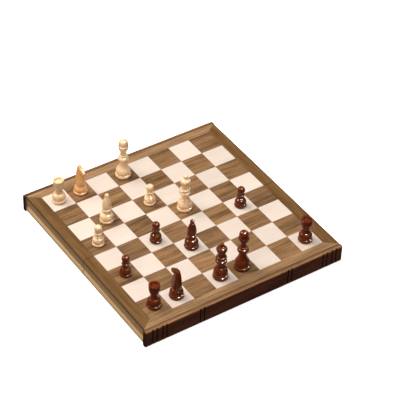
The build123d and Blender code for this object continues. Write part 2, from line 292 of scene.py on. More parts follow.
@dataclass(frozen=True)
class Wood(Finish):
    """A wood with long bands, fine streaks and pores."""

    dark: Colour = (0.1, 0.05, 0.02)
    light: Colour = (0.3, 0.18, 0.1)
    along: Along = Along.X
    layout: Layout = Layout.PLAIN
    own_grain: bool = False
    band: float = 9.0
    streak: float = 1.1
    contrast: float = 1.0
    pores: float = 0.5
    tile_change: float = 0.0
    coat_index: float = 1.45
    gloss: float = 0.5
    gloss_tint: Colour = WHITE

    def draw(self, graph: Graph) -> None:
        """Grain first, then what the layout adds, then the varnish."""
        place = graph.place(self.own_grain)
        parts = graph.split(place)
        shift: object = 0.0
        tint: object = 1.0
        if self.layout is Layout.TILES:
            columns = graph.maths("FLOOR", parts[0] / SQUARE)
            rows = graph.maths("FLOOR", parts[1] / SQUARE)
            tile = graph.random(graph.join(columns, rows, 0.0))
            other = graph.random(graph.join(rows, columns, 5.0))
            shift = tile * 0.9
            tint = (other - 0.5) * self.tile_change + 1.0
        order = self.along.value
        along, across, deep = (parts[index] for index in order)
        if self.layout is Layout.STRIPS:
            side = self.beyond_mitre(graph, parts)
            along = graph.maths("ADD", parts[0] * (1.0 - side), parts[1] * side)
            across = graph.maths("ADD", parts[1] * (1.0 - side), parts[0] * side)
            shift = side * 0.37
        along = along + shift
        grain = self.grain(graph, along, across, deep)
        colour = graph.scaled(graph.mix(grain, self.dark, self.light), tint)
        pore = self.pore(graph, along, across, deep)
        colour = graph.scaled(colour, 1.0 - pore * (0.45 * self.pores))
        if self.layout is Layout.STRIPS:
            colour = graph.tinted(colour, graph.mix(side, WHITE, SIDE_STRIP_TINT))
        colour = self.marked(graph, parts, colour)
        rough = self.roughness + (grain - 0.5) * -0.12 + pore * 0.15
        height = grain * 0.4 - pore * self.pores
        normal = graph.bump(height, 0.00004, 0.6)
        graph.surface(colour, rough, normal, Coat_Weight=self.coat, Coat_Roughness=0.06,
                      Coat_IOR=self.coat_index, Specular_IOR_Level=self.gloss,
                      Specular_Tint=(*self.gloss_tint, 1.0))

    def grain(self, graph: Graph, along: Wire, across: Wire, deep: Wire) -> Wire:
        """Bands and streaks, from 0 for the dark wood to 1 for the light."""
        wander = graph.noise(graph.join(along * 14.0, across * 22.0, deep * 22.0), 1.0)
        bent = across + (wander - 0.5) * 0.008
        wide = 1000.0 / self.band
        fine = 1000.0 / self.streak
        bands = graph.noise(graph.join(along * 9.0, bent * wide, deep * wide), 2.0)
        streaks = graph.noise(graph.join(along * 26.0, bent * fine, deep * fine), 3.0, 0.6)
        spread = (bands - 0.5) * (1.2 * self.contrast) + (streaks - 0.5) * (2.0 * self.contrast)
        return graph.maths("ADD", spread, 0.5, clamp=True)

    def pore(self, graph: Graph, along: Wire, across: Wire, deep: Wire) -> Wire:
        """Short dark dashes along the grain."""
        dashes = graph.noise(graph.join(along * 210.0, across * 2100.0, deep * 2100.0), 1.0)
        return graph.step(dashes, 0.56, 0.68)

    def beyond_mitre(self, graph: Graph, parts: Sequence[Wire]) -> Wire:
        """1 on the strips along Y, 0 on those along X, with the mitre between them."""
        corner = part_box("far_border")[1]
        run, rise = corner[0] - FIELD, corner[1] - FIELD
        side_way = (abs(parts[0]) - FIELD) * rise
        front_way = (abs(parts[1]) - FIELD) * run
        return side_way > front_way

    def marked(self, graph: Graph, parts: Sequence[Wire], colour: Wire) -> Wire:
        """Burnt lines, tile joints and blackened faces, with painted shade in grooves and seams
        and painted light on edges and bulges.
        """
        x, y, z = parts
        if self.layout is Layout.SPINE:
            burn = spine_burns(graph, x, y)
            # Painted shade: a dark line where the spine meets the border, for the shade in the
            # V-groove between them.
            groove_shade = 1.0 - graph.step(abs(y), SPINE_LIP + 0.0004, SPINE_LIP + 0.0012)
            groove_shade = groove_shade * (z > PLAYING_SURFACE - 0.001)
            mark = graph.maths("MAXIMUM", burn, groove_shade * 0.75)
            end = graph.step(abs(x), SPINE_END - 0.0014, SPINE_END - 0.0006)
            mark = graph.maths("MAXIMUM", mark, end * 0.85)
            # Painted highlight: the rounded top edge of the spine's outer face is lightened where
            # it catches the light.
            wear_and_highlight = graph.step(abs(y), SPINE_FACE - 0.0026, SPINE_FACE - 0.0016)
            wear_and_highlight = wear_and_highlight * graph.step(z, PLAYING_SURFACE - 0.0028, PLAYING_SURFACE - 0.0010)
            colour = graph.scaled(colour, wear_and_highlight * 1.1 + 1.0)
            # Painted shade: the spine's outer face is tinted darker and redder, the colour it has
            # in shade.
            face = graph.step(abs(y), SPINE_FACE - 0.0006, SPINE_FACE - 0.0001)
            colour = graph.tinted(colour, graph.mix(face, WHITE, SPINE_FACE_SHADE_TINT))
            return graph.mix(mark, colour, BURNT_AND_GROOVE_SHADE)
        if self.layout is Layout.RAIL:
            # Painted shade: dark lines under the border's overhang, in the cove, along the bottom
            # and in the fold seam.
            under = graph.step(z, RAIL_TOP - 0.0014, RAIL_TOP - 0.0007)
            foot = 1.0 - graph.step(abs(z - (RAIL_TOP - 0.0138)), 0.0002, 0.0006)
            rim = 1.0 - graph.step(z, 0.0018, 0.0028)
            fold = 1.0 - graph.step(abs(y), 0.0004, 0.0008)
            # Painted light: the moulding's lower bulge is made lighter because it faces up into
            # the light.
            low = 1.0 - graph.step(z, RAIL_TOP - 0.0165, RAIL_TOP - 0.0125)
            colour = graph.scaled(colour, low * 0.30 + 1.0)
            lines = graph.maths("MAXIMUM", under * 0.55, foot * 0.35)
            lines = graph.maths("MAXIMUM", lines, graph.maths("MAXIMUM", rim * 0.4, fold * 0.8))
            return graph.mix(lines, colour, RAIL_SHADOW)
        if self.layout is Layout.STRIPS:
            # Painted shade: dark lines in the fold seam, in the joint with the spine and along the
            # border's outer edge, where gaps and grooves lie in shade.
            fold = 1.0 - graph.step(abs(y), 0.0003, 0.0008)
            spine = graph.step(abs(y), SPINE_LIP - 0.0005, SPINE_LIP - 0.0001)
            lines = graph.maths("MAXIMUM", fold * 0.7, spine * 0.7)
            edge = graph.step(abs(x), BORDER_EDGE - 0.0015, BORDER_EDGE - 0.0008)
            lines = graph.maths("MAXIMUM", lines, edge * 0.75)
            return graph.mix(lines, colour, BORDER_SHADE_LINE)
        if self.layout is Layout.SHEET:
            return graph.mix(z < PANEL_UNDERSIDE + 0.0001, colour, BLACKENED)
        if self.layout is Layout.TILES:
            gap_x = abs(graph.maths("WRAP", x, SQUARE / 2, -SQUARE / 2))
            gap_y = abs(graph.maths("WRAP", y, SQUARE / 2, -SQUARE / 2))
            near_x = graph.step(gap_x, 0.0001, 0.0004)
            near_y = graph.step(gap_y, 0.0001, 0.0004)
            return graph.scaled(colour, graph.maths("MINIMUM", near_x, near_y) * 0.35 + 0.65)
        return colour


def spine_burns(graph: Graph, x: Wire, y: Wire) -> Wire:
    """1 in the grooves across a spine, falling off where the burn has spread."""
    from_end = SPINE_END - abs(x)
    nearest: Wire | None = None
    for groove in SPINE_GROOVES:
        away = abs(from_end - groove)
        nearest = away if nearest is None else graph.maths("MINIMUM", nearest, away)
    outer = graph.step(abs(y), SPINE_FACE - 0.0016, SPINE_FACE - 0.0010)
    return (1.0 - graph.step(nearest, 0.0006, 0.0014)) * outer


@dataclass(frozen=True)
class Pile(Finish):
    """Felt or flocked foam: matt, mottled and a little fuzzy."""

    colour: Colour = (0.02, 0.02, 0.02)
    fibre: float = 0.35
    sheen: float = 0.4
    own_grain: bool = False

    def draw(self, graph: Graph) -> None:
        """Two sizes of mottling and a bump of fibres."""
        place = graph.place(self.own_grain)
        scale = 1000.0 / self.fibre
        x, y, z = graph.split(place)
        fine = graph.noise(graph.join(x * scale, y * scale, z * scale), 2.0, 0.7)
        wide = graph.noise(graph.join(x * 90.0, y * 90.0, z * 90.0), 2.0)
        lighter = tuple(channel * 2.1 + 0.004 for channel in self.colour)
        colour = graph.mix(fine * 0.6 + wide * 0.4, self.colour, lighter)
        rough = 0.86 + (fine - 0.5) * 0.2
        graph.surface(colour, rough, graph.bump(fine, 0.00012), Sheen_Weight=self.sheen,
                      Sheen_Roughness=0.5, Specular_IOR_Level=0.2)


@dataclass(frozen=True)
class Metal(Finish):
    """A metal, rubbed and tarnished, with fine scratches."""

    colour: Colour = (0.8, 0.6, 0.3)

    def draw(self, graph: Graph) -> None:
        """Cloudy tarnish in the colour, scratches in the gloss."""
        x, y, z = graph.split(graph.place(False))
        cloud = graph.noise(graph.join(x * 260.0, y * 260.0, z * 260.0), 3.0)
        scratch = graph.noise(graph.join(x * 150.0, y * 5200.0, z * 2600.0), 2.0)
        wear_and_highlight = tuple(channel * 0.62 for channel in self.colour)
        colour = graph.mix(cloud, wear_and_highlight, self.colour)
        rough = self.roughness + (scratch - 0.5) * 0.3
        graph.surface(colour, rough, graph.bump(scratch, 0.00001), Metallic=1.0)


@dataclass(frozen=True)
class Floor(Finish):
    """The plain pale ground under the set."""

    def draw(self, graph: Graph) -> None:
        """Almost white, with a trace of unevenness."""
        x, y, _ = graph.split(graph.place(False))
        cloud = graph.noise(graph.join(x * 3.0, y * 3.0, 0.0), 2.0)
        colour = graph.mix(cloud, (0.93, 0.93, 0.93), (0.95, 0.95, 0.95))
        graph.surface(colour, self.roughness, Specular_IOR_Level=0.1,
                      Emission_Color=(1.0, 1.0, 1.0, 1.0), Emission_Strength=0.85)


WALNUT_DARK = (0.092, 0.041, 0.013)
WALNUT_LIGHT = (0.381, 0.207, 0.092)
BORDER_DARK = (0.162, 0.080, 0.030)
BORDER_LIGHT = (0.500, 0.290, 0.143)
# Painted shade tint for the spine's outer face.
SPINE_FACE_SHADE_TINT = (1.29, 0.63, 0.40)
SIDE_STRIP_TINT = (0.51, 0.44, 0.29)
# Dark of the burnt grooves and the spine's ends, and also the painted shade in the spine's joint
# with the border.
BURNT_AND_GROOVE_SHADE = (0.006, 0.003, 0.002)
# Painted shade in the border's seams, joints and outer edge.
BORDER_SHADE_LINE = (0.020, 0.010, 0.005)
RAIL_SHADOW = (0.030, 0.014, 0.006)
BLACKENED = (0.012, 0.012, 0.013)

MAPLE = Wood("maple", "maple_veneer", 0.42, 0.10, dark=(0.69, 0.56, 0.465),
             light=(0.835, 0.71, 0.61), layout=Layout.TILES, contrast=0.5, pores=0.10,
             tile_change=0.10, band=14.0)
WALNUT = Wood("walnut", "walnut_veneer", 0.46, 0.06, dark=WALNUT_DARK, light=WALNUT_LIGHT,
              layout=Layout.TILES, contrast=1.2, pores=0.6, tile_change=0.30, streak=1.2)
WALNUT_BORDER = Wood("walnut_strip", "walnut_border", 0.46, 0.06, dark=BORDER_DARK,
                     light=BORDER_LIGHT, layout=Layout.STRIPS, contrast=0.95, pores=0.6,
                     streak=1.2)
WALNUT_SPINE = Wood("walnut_board", "walnut_spine", 0.48, 0.05, dark=(0.084, 0.033, 0.012),
                    light=(0.285, 0.148, 0.064), layout=Layout.SPINE, contrast=1.0, pores=0.6,
                    band=12.0)
PAGES = Wood("page_wood", "page_wood", 0.46, 0.08, dark=(0.46, 0.26, 0.115),
             light=(0.70, 0.46, 0.235), along=Along.Y, layout=Layout.RAIL, contrast=0.7, pores=0.2,
              band=7.0)
FRONT = Wood("front_wood", "page_wood", 0.42, 0.15, dark=(0.56, 0.36, 0.19),
             light=(0.80, 0.60, 0.37), along=Along.X, contrast=0.7, pores=0.2, band=7.0)
PLYWOOD = Wood("ply", "plywood", 0.6, 0.0, dark=(0.42, 0.28, 0.16), light=(0.66, 0.48, 0.30),
               along=Along.X, layout=Layout.SHEET, contrast=0.8, pores=0.3)
BOXWOOD = Wood("boxwood_men", "boxwood", 0.38, 0.3, dark=(0.76, 0.46, 0.23),
               light=(1.0, 0.765, 0.49), coat_index=1.35, gloss=0.3,
               gloss_tint=(1.0, 0.85, 0.65), along=Along.Z, own_grain=True, contrast=1.0,
               pores=0.15, band=6.0, streak=0.7)
ORANGE_BOXWOOD = Wood("boxwood_knights", "boxwood", 0.30, 0.45, dark=(0.62, 0.29, 0.08),
                      light=(0.93, 0.51, 0.20), along=Along.Z, own_grain=True, contrast=0.6,
                      pores=0.15, band=6.0, streak=0.7)
STAINED = Wood("stained_men", "stained_wood", 0.36, 0.65, dark=(0.018, 0.003, 0.001),
               light=(0.230, 0.037, 0.006), coat_index=1.35, gloss=0.12,
               gloss_tint=(1.0, 0.5, 0.25), along=Along.Z, own_grain=True, contrast=0.8,
               pores=0.3, band=6.0, streak=0.8)
FOAM = Pile("foam", "black_foam", colour=(0.010, 0.010, 0.011), fibre=0.5, sheen=0.25)
FELT = Pile("felt_foot", "felt", colour=(0.055, 0.028, 0.018), fibre=0.25, own_grain=True)
BRASS = Metal("brass_hinge", "brass", 0.30, colour=(0.86, 0.64, 0.30))
STEEL = Metal("magnet", "magnet_steel", 0.22, colour=(0.72, 0.72, 0.74))
GROUND = Floor("ground", "ground", 0.9)


class Palette:
    """Builds each finish once and hands it out."""

    def __init__(self) -> None:
        self.made: dict[str, bpy.types.Material] = {}

    def __getitem__(self, finish: Finish) -> bpy.types.Material:
        if finish.name not in self.made:
            self.made[finish.name] = finish.build()
            LOG.info("finish %s", finish.name)
        return self.made[finish.name]


# ---- meshes -------------------------------------------------------------------------------
def as_mesh(name: str, bm: bmesh.types.BMesh) -> bpy.types.Mesh:
    """Write a bmesh out as a mesh and free it."""
    mesh = bpy.data.meshes.new(name)
    bm.to_mesh(mesh)
    bm.free()
    return mesh


def in_scene(name: str, data: bpy.types.ID) -> bpy.types.Object:
    """Put a mesh, light or camera into the scene as an object."""
    made = bpy.data.objects.new(name, data)
    bpy.context.scene.collection.objects.link(made)
    return made


def arc_points(start: Point, middle: Point, end: Point, count: int) -> list[Point]:
    """Points on the circle through three points.

    Args:
        start: first point, left out of the result.
        middle: a point between the ends.
        end: last point.
        count: how many points to give.

    Returns:
        Points from just after start to end.
    """
    ax, ay = start
    bx, by = middle
    cx, cy = end
    twice = 2 * (ax * (by - cy) + bx * (cy - ay) + cx * (ay - by))
    if abs(twice) < 1e-9:
        return [(ax + (cx - ax) * i / count, ay + (cy - ay) * i / count)
                for i in range(1, count + 1)]
    a2, b2, c2 = ax * ax + ay * ay, bx * bx + by * by, cx * cx + cy * cy
    ox = (a2 * (by - cy) + b2 * (cy - ay) + c2 * (ay - by)) / twice
    oy = (a2 * (cx - bx) + b2 * (ax - cx) + c2 * (bx - ax)) / twice
    first = math.atan2(ay - oy, ax - ox)
    half = (math.atan2(by - oy, bx - ox) - first) % math.tau
    sweep = (math.atan2(cy - oy, cx - ox) - first) % math.tau
    if half > sweep:
        sweep -= math.tau
    radius = math.hypot(ax - ox, ay - oy)
    return [(ox + radius * math.cos(first + sweep * i / count),
             oy + radius * math.sin(first + sweep * i / count)) for i in range(1, count + 1)]


def softened(points: Sequence[Point], size: float) -> list[Point]:
    """The same outline with every real corner cut back twice by about size."""
    result = [points[0]]
    for before, here, after in zip(points, points[1:], points[2:]):
        back = Vector(before) - Vector(here)
        on = Vector(after) - Vector(here)
        if back.length < 1e-6 or on.length < 1e-6 or back.angle(on) > math.radians(158):
            result.append(here)
            continue
        reach = min(size, back.length * 0.4, on.length * 0.4)
        first = Vector(here) + back.normalized() * reach
        last = Vector(here) + on.normalized() * reach
        middle = (first + last + 2 * Vector(here)) / 4
        result += [tuple(first), tuple(middle), tuple(last)]
    return result + [points[-1]]


FELT_THICKNESS = 0.8
FELT_INSET = 0.8


@dataclass(frozen=True)
class Turning:
    """The outline of a turned man above its felt, in millimetres from its own foot.

    Attributes:
        foot: radius of the foot.
        notch: height of the groove above the foot.
        inset: how deep that groove is.
        steps: (radius, height) of a corner, or those of an arc's middle and end.
        ball: radius and centre height of the ball on top, and the radius where it starts.
    """

    foot: float
    notch: float
    inset: float
    steps: tuple[tuple[float, ...], ...]
    ball: tuple[float, float, float] | None = None

    def outline(self) -> list[Point]:
        """Radius and height from the axis under the foot to the axis at the top."""
        low = FELT_THICKNESS
        steps = [(self.foot, self.notch * 0.5, self.foot - 0.5, self.notch - 0.5),
                 (self.foot - self.inset, self.notch), *self.steps]
        if self.ball:
            radius, centre, start = self.ball
            steps.append((start, centre - math.sqrt(radius ** 2 - start ** 2)))
            steps.append((radius, centre, 0.0, centre + radius))
        points: list[Point] = [(0.0, low), (self.foot - 0.5, low)]
        for step in steps:
            if len(step) == 2:
                points.append(step)
            else:
                points += arc_points(points[-1], step[:2], step[2:], 10)
        return softened(points, 0.16)

    def spun(self, segments: int = 56) -> bmesh.types.BMesh:
        """The closed turned body."""
        bm = bmesh.new()
        verts = [bm.verts.new((max(r, 0.0), 0.0, z)) for r, z in self.outline()]
        edges = [bm.edges.new(pair) for pair in zip(verts, verts[1:])]
        bmesh.ops.spin(bm, geom=verts + edges, cent=(0, 0, 0), axis=(0, 0, 1), dvec=(0, 0, 0),
                       angle=math.tau, steps=segments, use_merge=True, use_duplicate=False)
        bmesh.ops.remove_doubles(bm, verts=bm.verts, dist=0.002)
        bmesh.ops.recalc_face_normals(bm, faces=bm.faces)
        return bm


PAWN = Turning(9.1, 4.1, 1.9, (
    (8.5, 7.9, 5.0, 13.9), (5.5, 15.0, 4.8, 16.0), (4.3, 18.0, 4.6, 19.9),
    (5.9, 21.2, 4.6, 22.5), (4.5, 24.0)), (5.9, 29.45, 4.8))
ROOK = Turning(10.8, 4.6, 2.0, (
    (9.9, 9.0, 7.1, 14.8), (6.3, 15.3), (5.2, 21.0, 6.0, 25.4), (6.9, 26.4, 6.0, 27.5),
    (7.4, 29.4, 8.0, 33.0), (8.2, 39.5), (7.8, 40.0), (5.6, 40.0), (5.2, 39.4), (4.9, 36.2),
    (0.0, 35.6)))
BISHOP = Turning(10.8, 4.6, 1.8, (
    (10.2, 8.3, 6.1, 15.2), (5.2, 18.4, 5.8, 20.2), (7.3, 22.0, 6.0, 23.8), (6.3, 24.6),
    (6.5, 32.6, 2.9, 44.4)), (3.4, 47.4, 2.2))
QUEEN = Turning(11.5, 5.0, 1.9, (
    (10.6, 9.4, 6.8, 17.6), (7.4, 18.5, 6.4, 19.4), (4.9, 24.3, 5.9, 28.4),
    (8.4, 30.8, 6.6, 33.3), (5.9, 34.2, 6.2, 35.4), (7.9, 37.5, 6.2, 39.5),
    (5.5, 42.8, 6.3, 47.4), (7.4, 50.0, 8.0, 53.0), (7.4, 54.9), (5.4, 56.4, 2.4, 57.2)),
    (3.2, 60.4, 2.0))
KING = Turning(11.95, 5.4, 1.9, (
    (11.0, 9.4, 8.3, 17.0), (6.1, 23.2, 5.3, 30.4), (8.4, 34.0, 6.5, 37.0), (5.5, 37.6),
    (6.3, 39.0, 5.0, 40.4), (4.5, 43.4, 5.0, 47.0), (7.0, 51.2, 7.9, 55.4), (7.8, 56.9),
    (6.9, 57.8)), (6.9, 62.1, 6.7))
KNIGHT_STAND = Turning(10.8, 4.6, 1.8, ((9.9, 8.2, 7.6, 13.4), (7.0, 14.4), (0.0, 14.6)))


def evaluated(bm: bmesh.types.BMesh,
              modify: Callable[[bpy.types.Object], None]) -> bmesh.types.BMesh:
    """Run modifiers over a mesh.

    Args:
        bm: the mesh, freed here.
        modify: adds the modifiers to a scratch object.

    Returns:
        The modified mesh.
    """
    mesh = as_mesh("scratch", bm)
    scratch = in_scene("scratch", mesh)
    modify(scratch)
    graph = bpy.context.evaluated_depsgraph_get()
    result = bmesh.new()
    result.from_mesh(scratch.evaluated_get(graph).to_mesh())
    bpy.data.objects.remove(scratch)
    bpy.data.meshes.remove(mesh)
    return result


def loft(bm: bmesh.types.BMesh, rings: Sequence[tuple[Vector, Vector, Vector]], sides: int = 24,
         power: float = 2.3) -> None:
    """Skin closed rings into one solid.

    Args:
        bm: the mesh to add to.
        rings: a centre and two half-axes for each ring.
        sides: points round a ring.
        power: 2 for ellipses, more for squarer rings.
    """
    made = []
    for centre, first, second in rings:
        ring = []
        for k in range(sides):
            turn = math.tau * k / sides
            c, s = math.cos(turn), math.sin(turn)
            x = math.copysign(abs(c) ** (2 / power), c)
            y = math.copysign(abs(s) ** (2 / power), s)
            ring.append(bm.verts.new(centre + first * x + second * y))
        made.append(ring)
    for low, high in zip(made, made[1:]):
        for k in range(sides):
            bm.faces.new((low[k], low[(k + 1) % sides], high[(k + 1) % sides], high[k]))
    bm.faces.new(made[0][::-1])
    bm.faces.new(made[-1])


def bell(distance: float, width: float) -> float:
    """1 at no distance, falling off smoothly over about a width."""
    return math.exp(-(distance / width) ** 2)


class Horse:
    """The carved head of a knight, looking along its own +X, in millimetres."""

    NECK = (  # height, back, front, half width
        (11.0, -5.6, 5.6, 5.4), (14.5, -6.9, 7.0, 6.7), (18.0, -7.6, 8.2, 6.8),
        (22.5, -8.5, 9.5, 6.6), (26.0, -8.9, 9.6, 6.3), (30.0, -8.8, 8.4, 5.8),
        (34.0, -8.4, 6.8, 5.3), (38.0, -7.9, 5.9, 4.8), (42.0, -7.3, 5.0, 4.2),
        (45.5, -6.7, 3.4, 3.5), (47.8, -6.0, 0.8, 2.4))
    HEAD = (  # x, height, half depth, half width
        (-3.4, 44.0, 3.6, 3.1), (-0.6, 44.2, 4.6, 4.0), (2.4, 43.7, 5.1, 4.3),
        (5.4, 42.8, 4.5, 3.8), (8.0, 41.7, 3.8, 3.2), (10.2, 41.0, 3.5, 3.0),
        (11.8, 40.7, 2.8, 2.5))
    LEAN = Vector((0.96, 0.0, -0.28))     # which way the muzzle points
    EAR = (  # centre on the +Y side, half lengths along X and Y
        ((-2.6, 1.9, 46.0), 1.7, 1.1), ((-2.4, 2.0, 48.2), 1.3, 0.9),
        ((-1.9, 1.8, 49.9), 0.5, 0.4))
    MANE = (21.0, -2.6)                   # above this height, behind this x
    EYE = (3.4, 44.6)
    NOSTRIL = (10.6, 42.4)
    MOUTH = (11.0, 39.8)
    MOUTH_CORNER = 7.2
    CHEEK = (1.6, 42.6)

    def carved(self) -> bmesh.types.BMesh:
        """The head and neck on their turned stand."""
        bm = bmesh.new()
        side = Vector((0, 1, 0))
        loft(bm, [(Vector(((b + f) / 2, 0, z)), Vector(((f - b) / 2, 0, 0)), side * w)
                  for z, b, f, w in self.NECK])
        across = self.LEAN.cross(side)
        loft(bm, [(Vector((x, 0, z)), across * -d, side * w) for x, z, d, w in self.HEAD])
        for y in (-1.0, 1.0):
            loft(bm, [(Vector((ex, ey * y, ez)), Vector((length, 0, 0)), side * width)
                      for (ex, ey, ez), length, width in self.EAR], 12)
        loft(bm, [(Vector((1.0, 0, 47.6)), Vector((1.6, 0, 0)), side * 1.3),
                  (Vector((3.6, 0, 47.6)), Vector((1.3, 0, 1.0)), side * 1.2),
                  (Vector((5.6, 0, 46.2)), Vector((0.6, 0, 0.8)), side * 0.8)], 12)
        bmesh.ops.recalc_face_normals(bm, faces=bm.faces)
        bm = evaluated(bm, self.fused)
        for vert in bm.verts:
            vert.co += self.cut(vert.co)
        bm.normal_update()
        return bm

    @staticmethod
    def fused(scratch: bpy.types.Object) -> None:
        """One skin over the overlapping blocks, then smoothed."""
        skin = scratch.modifiers.new("skin", "REMESH")
        skin.mode = "VOXEL"
        skin.voxel_size = 0.42
        calm = scratch.modifiers.new("calm", "SMOOTH")
        calm.factor = 0.5
        calm.iterations = 4

    def cut(self, place: Vector) -> Vector:
        """How far the carver's tools push the surface in at a place."""
        x, y, z = place
        inward = -math.copysign(1.0, y) if abs(y) > 0.3 else 0.0
        push = 0.0
        above, behind = self.MANE
        if z > above and x < behind:
            wave = math.sin((z + x * 0.9) * 1.55)
            fade = min(1.0, (behind - x) / 2.0) * min(1.0, (z - above) / 3.0)
            push += 0.42 * max(0.0, wave) * fade
        eye = math.hypot(x - self.EYE[0], z - self.EYE[1])
        push += 0.75 * bell(eye - 1.15, 0.38)
        push -= 0.35 * bell(eye, 0.8)
        push += 0.6 * bell(math.hypot(x - self.NOSTRIL[0], z - self.NOSTRIL[1]), 0.6)
        if x > self.MOUTH_CORNER:
            lip = abs(z - (self.MOUTH[1] + (x - self.MOUTH[0]) * -0.12))
            push += 0.55 * bell(lip, 0.35) * min(1.0, (x - self.MOUTH_CORNER) / 1.5)
        if 36.5 < z < 43.5 and 0.0 < x < 6.5:
            cheek = abs(math.hypot(x - self.CHEEK[0], z - self.CHEEK[1]) - 4.2)
            push += 0.35 * bell(cheek, 0.4)
        return Vector((0.0, inward * push, 0.0))


def bishop_mesh() -> bmesh.types.BMesh:
    """The turned bishop with the slanting cut in its mitre."""
    blade = bmesh.new()
    bmesh.ops.create_cube(blade, size=1.0, matrix=Matrix.Translation((5.0, 0, 39.0))
                          @ Matrix.Rotation(math.radians(-38), 4, "Y")
                          @ Matrix.Diagonal((7.0, 14.0, 1.1, 1.0)))
    mesh = as_mesh("blade", blade)
    cutter = in_scene("blade", mesh)

    def cut(scratch: bpy.types.Object) -> None:
        slit = scratch.modifiers.new("slit", "BOOLEAN")
        slit.operation = "DIFFERENCE"
        slit.solver = "EXACT"
        slit.object = cutter

    result = evaluated(BISHOP.spun(), cut)
    bpy.data.objects.remove(cutter)
    bpy.data.meshes.remove(mesh)
    return result


def queen_mesh() -> bmesh.types.BMesh:
    """The turned queen with eight scallops let into the rim of her crown."""
    rim_height, rim_radius, scallops, depth = 51.4, 5.9, 8, 0.8
    bm = QUEEN.spun(96)
    for vert in bm.verts:
        x, y, z = vert.co
        if z > rim_height and math.hypot(x, y) > rim_radius:
            dip = 0.5 + 0.5 * math.cos(scallops * math.atan2(y, x))
            vert.co.z -= depth * dip ** 1.5 * min(1.0, (z - rim_height) / 2.2)
    bm.normal_update()
    return bm


def knight_mesh() -> bmesh.types.BMesh:
    """The turned stand and the carved head as two closed skins that grow together."""
    bm = KNIGHT_STAND.spun()
    mesh = as_mesh("head", Horse().carved())
    bm.from_mesh(mesh)
    bpy.data.meshes.remove(mesh)
    return bm


def felt_mesh(radius: float) -> bmesh.types.BMesh:
    """A disc of felt with a rounded lower edge."""
    bm = bmesh.new()
    bmesh.ops.create_cone(bm, cap_ends=True, segments=56, radius1=radius, radius2=radius,
                          depth=FELT_THICKNESS,
                          matrix=Matrix.Translation((0, 0, FELT_THICKNESS / 2)))
    rim = [edge for edge in bm.edges if all(v.co.z < 0.1 for v in edge.verts)]
    bmesh.ops.bevel(bm, geom=rim, offset=0.25, segments=2, profile=0.5, affect="EDGES",
                    material=-1)
    return bm


# ---- the set ------------------------------------------------------------------------------
class Kind(Enum):
    """The six kinds of men, each with its turned outline and how it is made."""

    PAWN = (PAWN, PAWN.spun)
    ROOK = (ROOK, ROOK.spun)
    KNIGHT = (KNIGHT_STAND, knight_mesh)
    BISHOP = (BISHOP, bishop_mesh)
    QUEEN = (QUEEN, queen_mesh)
    KING = (KING, KING.spun)

    def __init__(self, turning: Turning, make: Callable[[], bmesh.types.BMesh]) -> None:
        self.turning = turning
        self.make = make

    @classmethod
    def of(cls, node: str) -> "Kind":
        """The kind that a node's name speaks of."""
        return next(kind for kind in cls if kind.name.lower() in node)


FACINGS = {   # degrees about a standing man's own axis
    "light_knight_1": -90, "light_bishop_1": 60, "light_queen": 10,
    "dark_knight_1": 90, "dark_queen": 20, "dark_bishop_1": 150,
}


class Workshop:
    """Turns meshes into named pieces that ride on CAD bodies."""

    SEED = 7
    SHARP = math.radians(42)

    def __init__(self, palette: Palette) -> None:
        """Keep the palette and seed the draws.

        Args:
            palette: where the finishes come from.
        """
        self.palette = palette
        self.random = random.Random(self.SEED)

    def piece(self, name: str, source: bmesh.types.BMesh, place: Matrix, finish: Finish,
              body: str) -> bpy.types.Object:
        """Finish a mesh as a piece.

        Args:
            name: the piece's name.
            source: its mesh in millimetres in its own frame, kept for reuse.
            place: from its own frame, in metres, to the set's frame.
            finish: what it is made of.
            body: the CAD body it rides on.

        Returns:
            The object.
        """
        bm = source.copy()
        layer = bm.verts.layers.float_vector.new(GRAIN)
        offset = Vector([self.random.uniform(-1, 1) for _ in range(3)])
        for vert in bm.verts:
            vert[layer] = vert.co * MM + offset
            vert.co = place @ (vert.co * MM)
        mesh = as_mesh(name, bm)
        mesh.polygons.foreach_set("use_smooth", [True] * len(mesh.polygons))
        mesh.set_sharp_from_angle(angle=self.SHARP)
        mesh.materials.append(self.palette[finish])
        made = in_scene(name, mesh)
        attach(made, body)
        LOG.info("piece %s: %d faces on %s", name, len(mesh.polygons), body)
        return made


